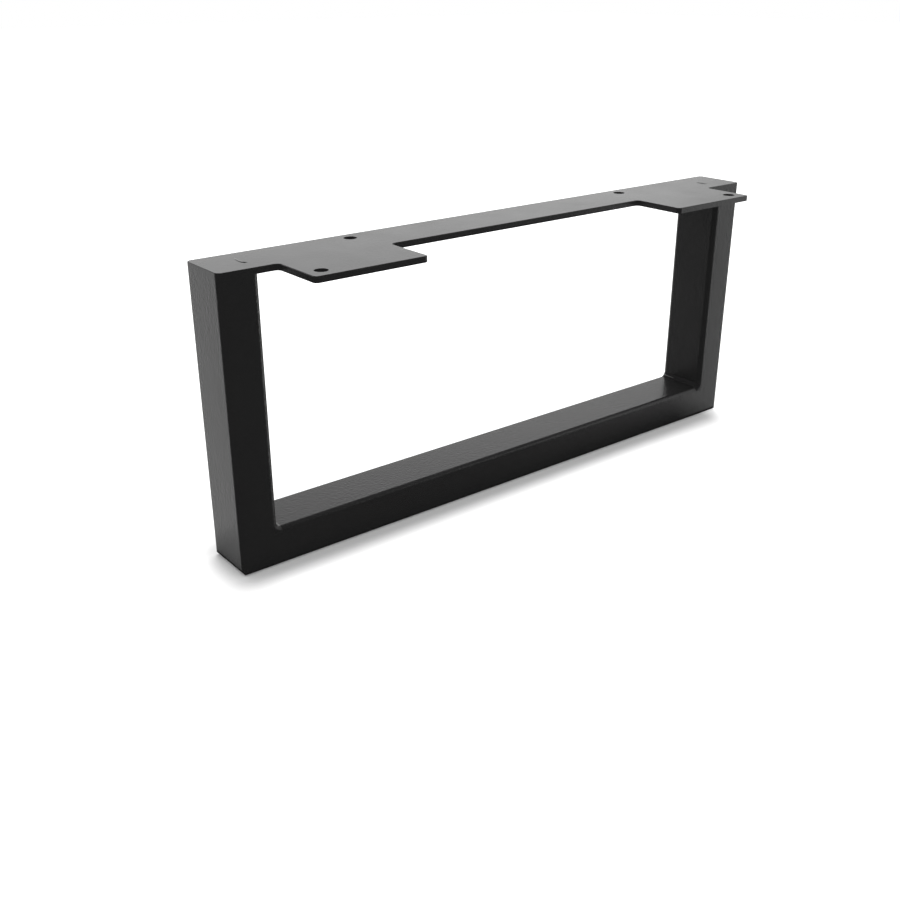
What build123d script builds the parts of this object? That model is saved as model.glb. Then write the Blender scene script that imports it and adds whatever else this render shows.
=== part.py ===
from build123d import *
import os

# Furniture leg, in millimetres: a U of mitred rectangular tube under a flat mounting plate.
# X runs along the leg, the screw pads reach towards -Y, and Z is up.
# The origin is the middle of the floor rail's underside.

# The whole leg
leg_length = 350
leg_height = 148

# Rectangular steel tube
tube_depth = 30
tube_face = 20
tube_wall = 1.5
tube_corner_radius = 2.5
smallest_inner_radius = 0.3

# Laser-cut mounting plate
plate_thickness = 3
pad_width = 60
pad_reach = 30
pad_from_leg_end = 30
pad_corner_radius = 2
inner_corner_radius = 2.5
plate_edge_radius = 0.4

# Wood screw holes, one in each of two opposite corners of a pad
screw_hole_diameter = 6.5
screw_hole_inset = 8

# Welds: the outer mitre corners are ground round, the inner ones keep their bead
ground_corner_radius = 3
corner_weld_leg = 2.5
corner_weld_hollow = 0.5
plate_weld_leg = 3
plate_weld_length = 10
weld_crown = 0.3
weld_end_radius = 0.6

# Places that follow from the sizes above
half_length = leg_length / 2
tube_back = tube_depth / 2
tube_front = -tube_depth / 2
plate_underside = leg_height - plate_thickness
upright_inner_face = half_length - tube_face
pad_outer_side = half_length - pad_from_leg_end
pad_inner_side = pad_outer_side - pad_width
pad_front = tube_front - pad_reach

LEFT = -1
RIGHT = 1


def tube_section():
    """The tube's ring-shaped section: its face along X, its depth along Y."""
    inner_radius = max(tube_corner_radius - tube_wall, smallest_inner_radius)
    outside = RectangleRounded(tube_face, tube_depth, tube_corner_radius)
    inside = RectangleRounded(tube_face - 2 * tube_wall, tube_depth - 2 * tube_wall, inner_radius)
    return outside - inside


def mitre_plane(side):
    """The 45 degree cut between rail and upright, facing the upright."""
    return Plane(origin=(side * half_length, 0, 0), x_dir=(0, 1, 0), z_dir=(side, 0, 1))


def ground_outline():
    """The leg's outline seen from the front, with the outer weld corners ground round."""
    outline = Pos(0, leg_height / 2) * Rectangle(leg_length, leg_height)
    outline = fillet(outline.vertices().group_by(Axis.Y)[0], ground_corner_radius)
    return extrude(Plane.XZ * outline, amount=tube_depth, both=True)


def upright(side):
    """One upright, cut square under the plate and mitred at its foot."""
    centre = side * (half_length - tube_face / 2)
    tube = extrude(Pos(centre, 0) * tube_section(), amount=plate_underside)
    tube = split(tube, bisect_by=mitre_plane(side), keep=Keep.TOP)
    return tube & ground_outline()


def floor_rail():
    """The rail on the floor, mitred at both ends."""
    left_end = Plane(origin=(-half_length, 0, tube_face / 2), x_dir=(0, 0, 1), z_dir=(1, 0, 0))
    tube = extrude(left_end * tube_section(), amount=leg_length)
    for side in (LEFT, RIGHT):
        tube = split(tube, bisect_by=mitre_plane(side), keep=Keep.BOTTOM)
    return tube & ground_outline()


def plate_outline():
    """A strip as deep as the tube with two pads in front, every corner rounded."""
    outline = Rectangle(leg_length, tube_depth)
    for side in (LEFT, RIGHT):
        pad_centre = side * (pad_outer_side + pad_inner_side) / 2
        outline += Pos(pad_centre, pad_front / 2) * Rectangle(pad_width, -pad_front)
    rows = outline.vertices().group_by(Axis.Y)
    outline = fillet(rows[0], pad_corner_radius)
    strip_front_row = outline.vertices().filter_by_position(Axis.Y, tube_front, tube_front)
    inner_corners = strip_front_row.filter_by_position(Axis.X, -pad_outer_side, pad_outer_side)
    outline = fillet(inner_corners, inner_corner_radius)
    left_end = outline.vertices().group_by(Axis.X)[0]
    right_end = outline.vertices().group_by(Axis.X)[-1]
    return fillet(left_end + right_end, tube_corner_radius)


def screw_hole_places():
    """The middle of each screw hole: back inner corner and front outer corner of each pad."""
    places = []
    for side in (LEFT, RIGHT):
        places.append((side * (pad_inner_side + screw_hole_inset), tube_back - screw_hole_inset))
        places.append((side * (pad_outer_side - screw_hole_inset), pad_front + screw_hole_inset))
    return places


def mounting_plate():
    """The flat plate on the uprights, with a softened edge round its top."""
    holes = Locations(*screw_hole_places()) * Circle(screw_hole_diameter / 2)
    plate = extrude(Pos(0, 0, plate_underside) * (plate_outline() - holes), amount=plate_thickness)
    top_face = plate.faces().sort_by(Axis.Z)[-1]
    return fillet(top_face.outer_wire().edges(), plate_edge_radius)


def tube_envelope(side):
    """The rail and one upright as solid bars that run through each other."""
    bar_section = RectangleRounded(tube_face, tube_depth, tube_corner_radius)
    upright_bar = extrude(Pos(side * (half_length - tube_face / 2), 0) * bar_section, amount=leg_height)
    left_end = Plane(origin=(-half_length, 0, tube_face / 2), x_dir=(0, 0, 1), z_dir=(1, 0, 0))
    return upright_bar + extrude(left_end * bar_section, amount=leg_length)


def corner_weld(side):
    """The smooth hollow bead in an inner mitre corner, carried round the tube's rounded edges."""
    root_depth = 2 * tube_corner_radius
    leg = corner_weld_leg
    hollow_middle = leg / 2 - corner_weld_hollow / 2 ** 0.5
    face = ThreePointArc((-leg, 0), (-hollow_middle, hollow_middle), (0, leg))
    root = Polyline((0, leg), (root_depth, leg), (root_depth, -root_depth), (-leg, -root_depth), (-leg, 0))
    outline = make_face(face + root)
    if side == LEFT:
        outline = mirror(outline, about=Plane.YZ)
    corner = Plane(origin=(side * upright_inner_face, 0, tube_face), x_dir=(1, 0, 0), z_dir=(0, -1, 0))
    bead = extrude(corner * outline, amount=tube_back, both=True)
    return fillet(bead.edges().filter_by(GeomType.CIRCLE), tube_corner_radius) - tube_envelope(side)


def plate_weld(side):
    """The short crowned bead under the plate, against an upright's inner face."""
    leg = plate_weld_leg
    inward = -side * leg
    crown = 1 + weld_crown * 2 ** 0.5 / leg
    sides = Polyline((inward, 0), (0, 0), (0, -leg))
    face = ThreePointArc((0, -leg), (inward / 2 * crown, -leg / 2 * crown), (inward, 0))
    corner = Plane(origin=(side * upright_inner_face, 0, plate_underside), x_dir=(1, 0, 0), z_dir=(0, -1, 0))
    bead = extrude(corner * make_face(sides + face), amount=plate_weld_length / 2, both=True)
    return fillet(bead.edges().filter_by(GeomType.CIRCLE), weld_end_radius)


nodes = {
    "mounting_plate": mounting_plate(),
    "left_upright": upright(LEFT),
    "right_upright": upright(RIGHT),
    "floor_rail": floor_rail(),
    "left_corner_weld": corner_weld(LEFT),
    "right_corner_weld": corner_weld(RIGHT),
    "left_plate_weld": plate_weld(LEFT),
    "right_plate_weld": plate_weld(RIGHT),
}

os.makedirs("parts", exist_ok=True)
for name, solid in nodes.items():
    export_step(solid, f"parts/{name}.step")
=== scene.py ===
"""Finish, studio and camera for a black powder-coated steel furniture leg.

Lengths are in metres in the leg's own frame: X runs along the leg, the screw pads reach
towards -Y, Z is up, and the origin is the middle of the floor rail's underside.
"""

import logging
import math
from dataclasses import dataclass
from enum import Enum

import bpy
from mathutils import Matrix, Vector


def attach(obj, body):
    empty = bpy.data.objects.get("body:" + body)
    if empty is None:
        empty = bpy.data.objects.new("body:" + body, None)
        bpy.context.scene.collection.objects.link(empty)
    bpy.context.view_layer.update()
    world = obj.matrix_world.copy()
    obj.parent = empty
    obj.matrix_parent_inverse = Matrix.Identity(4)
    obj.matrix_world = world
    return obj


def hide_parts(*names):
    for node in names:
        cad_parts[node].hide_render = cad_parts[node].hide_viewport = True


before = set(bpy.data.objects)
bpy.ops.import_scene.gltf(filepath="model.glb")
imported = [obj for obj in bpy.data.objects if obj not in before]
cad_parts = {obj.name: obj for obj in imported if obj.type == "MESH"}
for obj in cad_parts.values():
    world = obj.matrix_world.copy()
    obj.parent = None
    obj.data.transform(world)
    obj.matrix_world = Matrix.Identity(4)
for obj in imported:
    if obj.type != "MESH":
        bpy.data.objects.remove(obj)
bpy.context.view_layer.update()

ROOT_BODY = "root"
COVER = "cover"
MM = 0.001
PLATE_TOP = 0.148

logging.basicConfig(level=logging.INFO, format="%(message)s")
log = logging.getLogger("furniture_leg")


class Side(Enum):
    """The leg's two ends, each with the sign of its X."""

    LEFT = -1
    RIGHT = 1

    @property
    def word(self) -> str:
        """The word that the end's nodes begin with."""
        return self.name.lower()


class RaySeen(Enum):
    """The kinds of ray that a studio card can be seen by."""

    CAMERA = "visible_camera"
    DIFFUSE = "visible_diffuse"
    GLOSSY = "visible_glossy"
    TRANSMISSION = "visible_transmission"
    SCATTER = "visible_volume_scatter"
    SHADOW = "visible_shadow"


class NodeSheet:
    """A node tree that grows one node at a time."""

    def __init__(self, tree: bpy.types.NodeTree) -> None:
        """Empties the tree and keeps it.

        Args:
            tree: the tree of a material, a world or a node group.
        """
        self.tree = tree
        tree.nodes.clear()

    def add(self, kind: str, inputs: dict | None = None, **settings: object) -> bpy.types.Node:
        """Adds one node.

        Args:
            kind: the node's type.
            inputs: input name or number, to a value or to the output that feeds it.
            settings: attributes that are set before the inputs.

        Returns:
            The new node.
        """
        node = self.tree.nodes.new(kind)
        for name, value in settings.items():
            setattr(node, name, value)
        for name, value in (inputs or {}).items():
            if isinstance(value, bpy.types.NodeSocket):
                self.tree.links.new(value, node.inputs[name])
            else:
                node.inputs[name].default_value = value
        return node

    def math(self, operation: str, first: object, second: object) -> bpy.types.NodeSocket:
        """Adds a Math node.

        Args:
            operation: what it does.
            first: its first number or the output that feeds it.
            second: its second.

        Returns:
            The node's output.
        """
        return self.add("ShaderNodeMath", {0: first, 1: second}, operation=operation).outputs[0]

    def vector(self, operation: str, *vectors: object) -> bpy.types.NodeSocket:
        """Adds a Vector Math node that gives a vector.

        Args:
            operation: what it does.
            vectors: its one or two vectors, or the outputs that feed them.

        Returns:
            The node's vector output.
        """
        inputs = dict(enumerate(vectors))
        return self.add("ShaderNodeVectorMath", inputs, operation=operation).outputs["Vector"]

    def measure(self, operation: str, *vectors: object) -> bpy.types.NodeSocket:
        """Adds a Vector Math node that gives a number.

        Args:
            operation: what it does.
            vectors: its one or two vectors, or the outputs that feed them.

        Returns:
            The node's number output.
        """
        inputs = dict(enumerate(vectors))
        return self.add("ShaderNodeVectorMath", inputs, operation=operation).outputs["Value"]

    def mix(self, share: object, first: object, second: object) -> bpy.types.NodeSocket:
        """Adds a Mix node for numbers.

        Args:
            share: how much of the second number there is, from 0 to 1.
            first: the first number or the output that feeds it.
            second: the second.

        Returns:
            The node's output.
        """
        return self.add("ShaderNodeMix", {0: share, 2: first, 3: second}).outputs[0]

    def smooth_step(
        self, value: bpy.types.NodeSocket, start: float, end: float, before: float, after: float,
    ) -> bpy.types.NodeSocket:
        """Adds a Map Range node that goes softly from one level to another.

        Args:
            value: the output that is measured.
            start: where the change starts.
            end: where it ends.
            before: the level up to the start.
            after: the level from the end on.

        Returns:
            The node's output.
        """
        return self.add("ShaderNodeMapRange", {
            "Value": value, "From Min": start, "From Max": end, "To Min": before, "To Max": after,
        }, interpolation_type="SMOOTHSTEP").outputs[0]


@dataclass(frozen=True)
class PowderTexture:
    """The skin of sprayed and baked powder: orange peel, fine grain and faint clouds."""

    name: str = "powder_texture"
    peel_detail: float = 1.0
    grain_detail: float = 2.0
    cloud_detail: float = 3.0
    detail_strength: float = 0.5
    least_cloud: float = 0.1
    most_cloud: float = 0.9

    def group(self) -> bpy.types.NodeTree:
        """Builds the node group once.

        Returns:
            The group, with a height for bump and a cloud mask from 0 to 1.
        """
        known = bpy.data.node_groups.get(self.name)
        if known:
            return known
        tree = bpy.data.node_groups.new(self.name, "ShaderNodeTree")
        sheet = NodeSheet(tree)
        socket = tree.interface.new_socket
        socket("Position", in_out="INPUT", socket_type="NodeSocketVector")
        for name in ("Peel Scale", "Grain Scale", "Grain Share", "Cloud Scale"):
            socket(name, in_out="INPUT", socket_type="NodeSocketFloat")
        for name in ("Height", "Clouds"):
            socket(name, in_out="OUTPUT", socket_type="NodeSocketFloat")
        given = sheet.add("NodeGroupInput").outputs
        peel, grain, clouds = (
            sheet.add("ShaderNodeTexNoise", {
                "Vector": given["Position"],
                "Scale": given[scale],
                "Detail": detail,
                "Roughness": self.detail_strength,
            }).outputs[0]
            for scale, detail in (
                ("Peel Scale", self.peel_detail),
                ("Grain Scale", self.grain_detail),
                ("Cloud Scale", self.cloud_detail),
            )
        )
        height = sheet.mix(given["Grain Share"], peel, grain)
        spread = sheet.add("ShaderNodeMapRange", {
            "Value": clouds, "From Min": self.least_cloud, "From Max": self.most_cloud,
        }).outputs[0]
        sheet.add("NodeGroupOutput", {"Height": height, "Clouds": spread})
        return tree


@dataclass(frozen=True)
class PowderCoat:
    """Black satin powder coat on steel."""

    name: str
    dark: tuple[float, float, float] = (0.0168, 0.0168, 0.0172)
    light: tuple[float, float, float] = (0.0188, 0.0187, 0.0184)
    least_roughness: float = 0.18
    most_roughness: float = 0.26
    peel_size: float = 2.0 * MM
    grain_size: float = 1.0 * MM
    grain_share: float = 0.6
    cloud_size: float = 22 * MM
    relief: float = 0.19 * MM
    refraction: float = 1.6
    texture: PowderTexture = PowderTexture()

    def material(self) -> bpy.types.Material:
        """Builds the coat.

        Returns:
            The material, patterned on each piece's own coordinates.
        """
        material = bpy.data.materials.new(self.name)
        material.use_nodes = True
        sheet = NodeSheet(material.node_tree)
        skin = sheet.add("ShaderNodeGroup", {
            "Position": sheet.add("ShaderNodeTexCoord").outputs["Object"],
            "Peel Scale": 1 / self.peel_size,
            "Grain Scale": 1 / self.grain_size,
            "Grain Share": self.grain_share,
            "Cloud Scale": 1 / self.cloud_size,
        }, node_tree=self.texture.group()).outputs
        colour = sheet.add("ShaderNodeMix", {
            0: skin["Clouds"], 6: (*self.dark, 1), 7: (*self.light, 1),
        }, data_type="RGBA").outputs[2]
        roughness = sheet.add("ShaderNodeMapRange", {
            "Value": skin["Clouds"], "To Min": self.least_roughness, "To Max": self.most_roughness,
        }).outputs[0]
        relief = sheet.add("ShaderNodeBump", {"Height": skin["Height"], "Distance": self.relief})
        shader = sheet.add("ShaderNodeBsdfPrincipled", {
            "Base Color": colour,
            "Roughness": roughness,
            "Normal": relief.outputs[0],
            "IOR": self.refraction,
        })
        sheet.add("ShaderNodeOutputMaterial", {"Surface": shader.outputs[0]})
        return material


@dataclass(frozen=True)
class FloorFinish:
    """Matt white floor with a painted glow that lifts it to plain white for the camera; the glow is
    weaker close round the leg's foot, so the shadow there is partly the lamps' and partly painted shade.
    """

    name: str = "white_floor"
    colour: tuple[float, float, float] = (0.8, 0.8, 0.8)
    foot_centre: tuple[float, float, float] = (-0.0075, 0.0, 0.0)
    foot: tuple[float, float, float] = (0.1625, 0.015, 0.0)
    near: float = 2.5 * MM
    far: float = 20.5 * MM
    near_lift: float = 0.07
    far_lift: float = 0.55

    def material(self) -> bpy.types.Material:
        """Builds the floor's material and returns it."""
        material = bpy.data.materials.new(self.name)
        material.use_nodes = True
        sheet = NodeSheet(material.node_tree)
        place = sheet.add("ShaderNodeTexCoord").outputs["Object"]
        apart = sheet.vector("ABSOLUTE", sheet.vector("SUBTRACT", place, self.foot_centre))
        apart = sheet.vector("SUBTRACT", apart, self.foot)
        apart = sheet.vector("MAXIMUM", apart, (0.0, 0.0, 0.0))
        distance = sheet.measure("LENGTH", apart)
        # Painted shade: the camera-only glow fades close to the foot, which deepens and bounds the shadow
        # there.
        lift = sheet.smooth_step(distance, self.near, self.far, self.near_lift, self.far_lift)
        seen = sheet.add("ShaderNodeLightPath").outputs["Is Camera Ray"]
        glow = sheet.add("ShaderNodeEmission", {"Strength": sheet.math("MULTIPLY", seen, lift)})
        paint = sheet.add("ShaderNodeBsdfDiffuse", {"Color": (*self.colour, 1)})
        both = sheet.add("ShaderNodeAddShader", {0: paint.outputs[0], 1: glow.outputs[0]})
        sheet.add("ShaderNodeOutputMaterial", {"Surface": both.outputs[0]})
        return material


@dataclass(frozen=True)
class CardFinish:
    """Flat black of a card that paints the floor's shade into reflections, clear where the card's cover
    attribute is 0.
    """

    name: str = "black_card"
    colour: tuple[float, float, float] = (0.03, 0.03, 0.03)

    def material(self) -> bpy.types.Material:
        """Builds the card's material and returns it."""
        material = bpy.data.materials.new(self.name)
        material.use_nodes = True
        sheet = NodeSheet(material.node_tree)
        cover = sheet.add("ShaderNodeAttribute", attribute_name=COVER).outputs["Fac"]
        clear = sheet.add("ShaderNodeBsdfTransparent")
        black = sheet.add("ShaderNodeBsdfDiffuse", {"Color": (*self.colour, 1)})
        card = sheet.add("ShaderNodeMixShader", {0: cover, 1: clear.outputs[0], 2: black.outputs[0]})
        sheet.add("ShaderNodeOutputMaterial", {"Surface": card.outputs[0]})
        return material


@dataclass(frozen=True)
class Station:
    """One section of a ridge: where its middle lies, and its half width there."""

    place: tuple[float, float, float]
    half_width: float


@dataclass(frozen=True)
class Ridge:
    """A low rounded ridge that rises and tapers along a path on a level face."""

    name: str
    stations: tuple[Station, ...]
    flatness: float = 1.0
    section_points: int = 12

    def model(self) -> bpy.types.Object:
        """Sweeps a round section through the stations.

        Returns:
            The ridge, closed, with its object at the origin.
        """
        places = [Vector(station.place) for station in self.stations]
        widths = [station.half_width for station in self.stations]
        steps = [after - before for before, after in zip(places, places[1:])]
        headings = [math.atan2(step.y, step.x) for step in steps]
        bpy.ops.mesh.primitive_circle_add(
            vertices=self.section_points, radius=widths[0], fill_type="NGON",
            location=places[0], rotation=(math.radians(90), 0, headings[0] + math.radians(90)),
        )
        bpy.ops.object.transform_apply(location=True, rotation=True, scale=True)
        ridge = bpy.context.object
        ridge.name = self.name
        bpy.ops.object.mode_set(mode="EDIT")
        bpy.ops.mesh.select_all(action="SELECT")
        for number, step in enumerate(steps):
            here = places[number + 1]
            grow = widths[number + 1] / widths[number]
            turn = headings[min(number + 1, len(headings) - 1)] - headings[number]
            turn = math.remainder(turn, 2 * math.pi)
            bpy.ops.mesh.extrude_region_move(TRANSFORM_OT_translate={"value": step})
            bpy.ops.transform.resize(value=(grow, grow, grow), center_override=here)
            # With no window the operator turns the other way, so the angle's sign is changed.
            bpy.ops.transform.rotate(value=-turn, orient_axis="Z", center_override=here)
        bpy.ops.mesh.select_all(action="SELECT")
        bpy.ops.transform.resize(value=(1, 1, self.flatness), center_override=places[0])
        bpy.ops.mesh.normals_make_consistent(inside=False)
        bpy.ops.object.mode_set(mode="OBJECT")
        bpy.ops.object.shade_smooth()
        return ridge


@dataclass(frozen=True)
class RippledBead:
    """A short weld bead, a row of overlapping scales melted into one skin."""

    name: str
    middle: tuple[float, float, float]
    scale_count: int = 9
    pitch: float = 1.0 * MM
    scale_radius: float = 2.1 * MM
    scale_thickness: float = 1.0 * MM
    scale_segments: int = 28
    scale_rings: int = 18
    lean_degrees: float = 24.0
    voxel: float = 0.16 * MM

    def model(self) -> bpy.types.Object:
        """Lays the scales in a row along Y and melts them together.

        Returns:
            The bead, closed, with its object at the origin.
        """
        bpy.ops.mesh.primitive_uv_sphere_add(
            segments=self.scale_segments, ring_count=self.scale_rings, radius=self.scale_radius,
        )
        bead = bpy.context.object
        bead.name = self.name
        bpy.ops.object.mode_set(mode="EDIT")
        bpy.ops.mesh.select_all(action="SELECT")
        thin = self.scale_thickness / self.scale_radius
        bpy.ops.transform.resize(value=(1, thin, 1), center_override=(0, 0, 0))
        lean = math.radians(self.lean_degrees)
        bpy.ops.transform.rotate(value=lean, orient_axis="X", center_override=(0, 0, 0))
        bpy.ops.transform.translate(value=(0, -self.pitch * (self.scale_count - 1) / 2, 0))
        bpy.ops.object.mode_set(mode="OBJECT")
        row = bead.modifiers.new("row", "ARRAY")
        row.count = self.scale_count
        row.use_relative_offset = False
        row.use_constant_offset = True
        row.constant_offset_displace = (0, self.pitch, 0)
        bpy.ops.object.modifier_apply(modifier=row.name)
        skin = bead.modifiers.new("skin", "REMESH")
        skin.mode = "VOXEL"
        skin.voxel_size = self.voxel
        bpy.ops.object.modifier_apply(modifier=skin.name)
        bead.data.transform(Matrix.Translation(self.middle))
        bpy.ops.object.shade_smooth()
        return bead


def add_piece(piece: bpy.types.Object, material: bpy.types.Material, instead_of: str = "") -> None:
    """Finishes a new piece and fixes it to the leg.

    Args:
        piece: the modelled piece.
        material: its finish.
        instead_of: the CAD node that it stands for, or nothing.
    """
    piece.data.materials.clear()
    piece.data.materials.append(material)
    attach(piece, ROOT_BODY)
    if instead_of:
        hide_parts(instead_of)
    bpy.ops.object.select_all(action="DESELECT")
    log.info("%s is modelled and wears %s", piece.name, material.name)


def dress(node: str, material: bpy.types.Material) -> None:
    """Gives a CAD node its finish.

    Args:
        node: the node's name.
        material: the material for its every face.
    """
    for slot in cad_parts[node].material_slots:
        slot.material = material
    log.info("%s wears %s", node, material.name)


@dataclass
class WeldedFrame:
    """The two uprights and the floor rail, with the beads left in the inner corners."""

    plate_bead_middle: tuple[float, float, float] = (0.1542, 0.0, 0.1442)
    crest_path: tuple[Station, ...] = (
        Station((0.15420, 0.0136, 0.0209), 0.10 * MM),
        Station((0.15410, 0.0126, 0.0210), 0.42 * MM),
        Station((0.15405, 0.0110, 0.0210), 0.38 * MM),
        Station((0.15410, 0.0085, 0.0209), 0.28 * MM),
        Station((0.15415, 0.0060, 0.0209), 0.20 * MM),
        Station((0.15420, 0.0042, 0.0208), 0.06 * MM),
    )
    tube_coat: PowderCoat = PowderCoat("tube_powder_coat")
    weld_coat: PowderCoat = PowderCoat(
        "weld_powder_coat", peel_size=1.2 * MM, relief=0.08 * MM, refraction=1.4,
    )
    # Painted highlight: the crest's coat is about eight times lighter than the black coat, so it draws a
    # light line along the weld's crest.
    crest_coat: PowderCoat = PowderCoat(
        "crest_painted_highlight_coat", dark=(0.10, 0.10, 0.10), light=(0.16, 0.16, 0.16), peel_size=0.8 * MM,
        relief=0.04 * MM,
    )

    def build(self) -> None:
        """Dresses the tubes and their corner welds, models the beads under the plate, and adds a crest on
        the right corner weld whose light coat is a painted highlight.
        """
        tube = self.tube_coat.material()
        weld = self.weld_coat.material()
        dress("floor_rail", tube)
        for side in Side:
            dress(f"{side.word}_upright", tube)
            dress(f"{side.word}_corner_weld", weld)
        self.add_plate_beads(weld)
        add_piece(Ridge("right_weld_crest_highlight", self.crest_path).model(), self.crest_coat.material())

    def add_plate_beads(self, material: bpy.types.Material) -> None:
        """Models the right-hand bead under the plate and a mirrored copy of it.

        Args:
            material: the finish of both.
        """
        right = RippledBead("right_plate_bead", self.plate_bead_middle).model()
        bpy.ops.object.duplicate()
        left = bpy.context.object
        left.name = "left_plate_bead"
        left.data.transform(Matrix.Diagonal((-1, 1, 1, 1)))
        left.data.flip_normals()
        add_piece(right, material, "right_plate_weld")
        add_piece(left, material, "left_plate_weld")


@dataclass
class MountingPlate:
    """The flat plate with its two screw pads, and the faint sink marks that the welds draw on its top."""

    coat: PowderCoat = PowderCoat("plate_powder_coat", relief=0.07 * MM)
    mark_coat: PowderCoat = PowderCoat("mark_powder_coat", peel_size=1.0 * MM, relief=0.08 * MM)
    mark_flatness: float = 0.26
    left_mark: tuple[Station, ...] = (
        Station((-0.1557, 0.0058, PLATE_TOP), 0.20 * MM),
        Station((-0.1560, 0.0043, PLATE_TOP), 0.45 * MM),
        Station((-0.1564, 0.0026, PLATE_TOP), 0.55 * MM),
        Station((-0.1567, 0.0007, PLATE_TOP), 0.60 * MM),
        Station((-0.1567, -0.0011, PLATE_TOP), 0.65 * MM),
        Station((-0.1565, -0.0027, PLATE_TOP), 0.80 * MM),
        Station((-0.1560, -0.0039, PLATE_TOP), 0.90 * MM),
        Station((-0.1552, -0.0044, PLATE_TOP), 0.60 * MM),
        Station((-0.1546, -0.0044, PLATE_TOP), 0.15 * MM),
    )
    right_mark: tuple[Station, ...] = (
        Station((0.1548, 0.0012, PLATE_TOP), 0.20 * MM),
        Station((0.1549, -0.0001, PLATE_TOP), 0.55 * MM),
        Station((0.1550, -0.0018, PLATE_TOP), 0.70 * MM),
        Station((0.1551, -0.0036, PLATE_TOP), 0.70 * MM),
        Station((0.1553, -0.0051, PLATE_TOP), 0.55 * MM),
        Station((0.1559, -0.0061, PLATE_TOP), 0.15 * MM),
    )

    def build(self) -> None:
        """Dresses the plate and models the two marks."""
        dress("mounting_plate", self.coat.material())
        material = self.mark_coat.material()
        for name, path in (("left_sink_mark", self.left_mark), ("right_sink_mark", self.right_mark)):
            add_piece(Ridge(name, path, self.mark_flatness).model(), material)


@dataclass(frozen=True)
class Softbox:
    """One soft lamp that reflections don't see."""

    name: str
    place: tuple[float, float, float]
    aim: tuple[float, float, float]
    width: float
    height: float
    watts: float

    def hang(self) -> None:
        """Puts the lamp in place."""
        data = bpy.data.lights.new(self.name, "AREA")
        data.shape = "RECTANGLE"
        data.size = self.width
        data.size_y = self.height
        data.energy = self.watts
        lamp = bpy.data.objects.new(self.name, data)
        lamp.location = self.place
        direction = Vector(self.aim) - Vector(self.place)
        lamp.rotation_euler = direction.to_track_quat("-Z", "Y").to_euler()
        lamp.visible_glossy = False
        bpy.context.scene.collection.objects.link(lamp)


@dataclass(frozen=True)
class Card:
    """A black card that fades out along its edges and that only reflections see, a painted shadow on the
    floor for them.
    """

    name: str
    centre: tuple[float, float, float]
    width: float
    length: float
    fade: float = 0.1 * MM
    seen_by: tuple[RaySeen, ...] = (RaySeen.GLOSSY,)

    def place(self, material: bpy.types.Material) -> None:
        """Puts the card in place, flat just above the floor.

        Args:
            material: its finish.
        """
        bpy.ops.mesh.primitive_plane_add(size=1)
        card = bpy.context.object
        card.name = self.name
        card.data.transform(Matrix.Diagonal((self.width, self.length, 1, 1)))
        bpy.ops.object.mode_set(mode="EDIT")
        bpy.ops.mesh.select_all(action="SELECT")
        bpy.ops.mesh.inset(thickness=self.fade)
        bpy.ops.object.mode_set(mode="OBJECT")
        cover = card.data.attributes.new(COVER, "FLOAT", "POINT")
        for vertex, mark in zip(card.data.vertices, cover.data):
            mark.value = float(abs(vertex.co.x) < (self.width - self.fade) / 2)
        card.data.transform(Matrix.Translation(self.centre))
        card.data.materials.append(material)
        for kind in RaySeen:
            setattr(card, kind.value, kind in self.seen_by)


@dataclass(frozen=True)
class LightStep:
    """A soft step in the room's light.

    A direction is measured by its dot product with the axis. The light is multiplied by before up to
    start and by after from end on, and it changes softly in between.
    """

    axis: tuple[float, float, float]
    start: float
    end: float
    before: float
    after: float


@dataclass(frozen=True)
class StudioSky:
    """A room that is bright behind and to the right of the leg, dim high up and dark in front."""

    light: float = 1.0
    backdrop: float = 1.25
    steps: tuple[LightStep, ...] = (
        # The front is black.
        LightStep((0.5, 0.866, 0.24), -0.240, -0.216, 0.0, 1.0),
        # The light grows softly from the left front to the right rear.
        LightStep((0.829, 0.559, 0.0), -0.46, 0.42, 0.0, 1.0),
        # A patch low at the right is dim.
        LightStep((0.821, 0.383, -0.423), 0.87, 0.93, 1.0, 0.2),
        # A wide patch at the right is a little dimmer than the rest.
        LightStep((1.0, 0.0, 0.35), 0.80, 0.85, 1.04, 0.80),
        # The light is raised all over, and a little more above the horizon.
        LightStep((0.0, 0.0, 1.0), -0.20, 0.05, 1.22, 1.27),
        # It falls a little about 17 degrees up.
        LightStep((0.0, 0.0, 1.0), 0.24, 0.34, 1.0, 0.79),
        # It nearly ends about 35 degrees up.
        LightStep((0.0, 0.0, 1.0), 0.50, 0.64, 1.0, 0.07),
        # A little of it comes back overhead.
        LightStep((0.0, 0.0, 1.0), 0.82, 0.94, 1.0, 3.0),
        # A patch high at the right lights the rail's front top edge.
        LightStep((0.7, 0.0, 0.714), 0.95, 0.995, 1.0, 7.0),
    )

    def hang(self) -> None:
        """Makes the world: white to the camera, a room to reflections, and plain light to the rest."""
        world = bpy.data.worlds.new("studio_sky")
        world.use_nodes = True
        sheet = NodeSheet(world.node_tree)
        direction = sheet.add("ShaderNodeTexCoord").outputs["Generated"]
        room = 1.0
        for step in self.steps:
            along = sheet.measure("DOT_PRODUCT", direction, step.axis)
            level = sheet.smooth_step(along, step.start, step.end, step.before, step.after)
            room = sheet.math("MULTIPLY", room, level)
        path = sheet.add("ShaderNodeLightPath").outputs
        reflected = sheet.mix(path["Is Glossy Ray"], self.light, room)
        plain = sheet.math("MAXIMUM", path["Is Camera Ray"], path["Is Transmission Ray"])
        strength = sheet.mix(plain, reflected, self.backdrop)
        sky = sheet.add("ShaderNodeBackground", {"Strength": strength})
        sheet.add("ShaderNodeOutputWorld", {"Surface": sky.outputs[0]})
        bpy.context.scene.world = world


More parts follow.
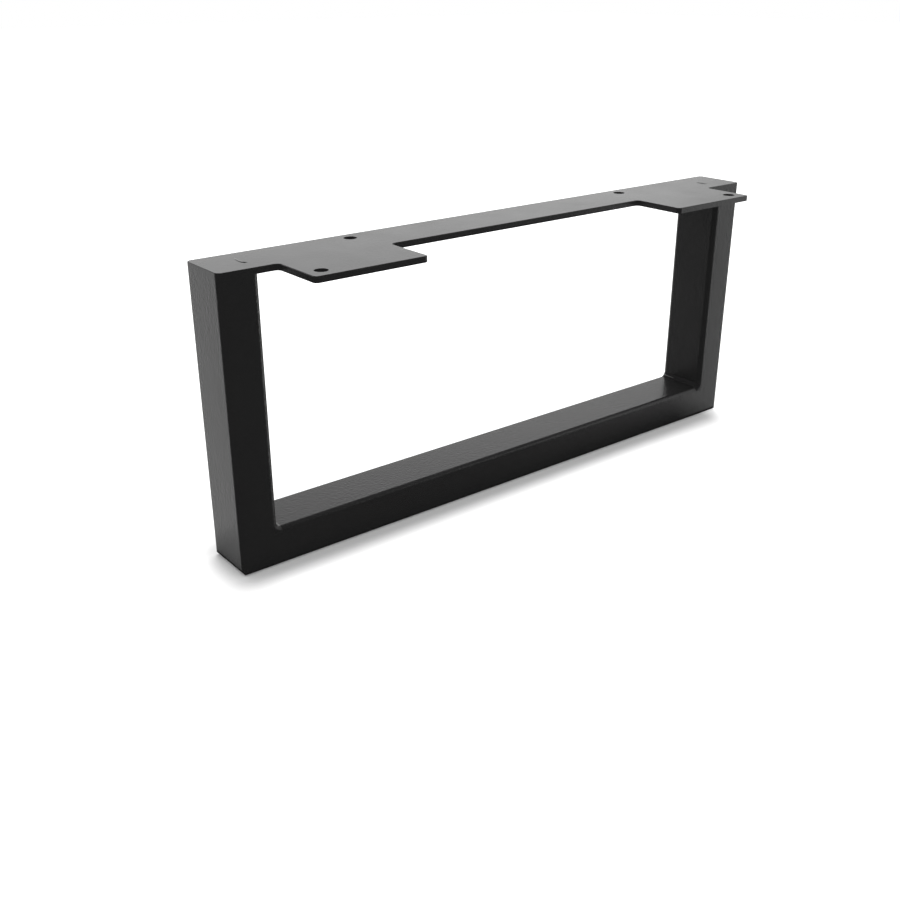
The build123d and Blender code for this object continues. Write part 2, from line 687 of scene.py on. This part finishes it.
@dataclass
class Studio:
    """A white floor under soft light.

    Reflections pass through the floor and see only the sky and the cards, black sheets that paint the
    leg's shadow on the floor for them.
    """

    floor_half_width: float = 6.0
    sky: StudioSky = StudioSky()
    lamps: tuple[Softbox, ...] = (
        Softbox(
            "back_softbox", place=(0.50, 0.80, 1.10), aim=(0.0, 0.0, 0.05), width=1.2, height=0.7,
            watts=12.0,
        ),
    )
    # Painted shadow: black sheets that only reflections see, standing for the leg's shade on the floor
    # right under its foot and in front of it.
    cards: tuple[Card, ...] = (
        Card("foot_shadow_card", (0.0, 0.0, 0.2 * MM), width=0.354, length=0.034),
        Card("shadow_card", (-0.009, -0.010, 0.4 * MM), width=0.384, length=0.100, fade=40 * MM),
    )

    def build(self) -> None:
        """Lays the floor and the cards, hangs the lamps and lights the sky."""
        bpy.ops.mesh.primitive_plane_add(size=2 * self.floor_half_width)
        floor = bpy.context.object
        floor.name = "floor"
        floor.data.materials.append(FloorFinish().material())
        floor.visible_glossy = False
        black = CardFinish().material()
        for card in self.cards:
            card.place(black)
        for lamp in self.lamps:
            lamp.hang()
        self.sky.hang()


@dataclass(frozen=True)
class PhotoCamera:
    """The camera, where the photograph was taken from, with its angles in degrees."""

    place: tuple[float, float, float] = (-0.37339, -0.42381, 0.26274)
    azimuth: float = -38.387
    elevation: float = 23.847
    roll: float = -0.110
    lens_mm: float = 42.856
    sensor_mm: float = 36.0
    nearest: float = 0.01
    farthest: float = 100.0

    def build(self) -> None:
        """Makes the camera and looks through it."""
        turn, tilt, roll = (math.radians(angle) for angle in (self.azimuth, self.elevation, self.roll))
        back = Vector((math.sin(turn) * math.cos(tilt), -math.cos(turn) * math.cos(tilt), math.sin(tilt)))
        level = Vector((math.cos(turn), math.sin(turn), 0))
        upright = back.cross(level)
        right = level * math.cos(roll) + upright * math.sin(roll)
        data = bpy.data.cameras.new("photo_camera")
        data.lens = self.lens_mm
        data.sensor_width = self.sensor_mm
        data.clip_start = self.nearest
        data.clip_end = self.farthest
        camera = bpy.data.objects.new("photo_camera", data)
        axes = Matrix((right, back.cross(right), back)).transposed().to_4x4()
        camera.matrix_world = Matrix.Translation(self.place) @ axes
        bpy.context.scene.collection.objects.link(camera)
        bpy.context.scene.camera = camera


def main() -> None:
    """Builds the leg's looks and its studio in order."""
    bpy.ops.object.select_all(action="DESELECT")
    bpy.context.scene.view_settings.view_transform = "Standard"
    for part in (WeldedFrame(), MountingPlate(), Studio(), PhotoCamera()):
        part.build()
        log.info("%s is built", type(part).__name__)


if __name__ == "__main__":
    main()
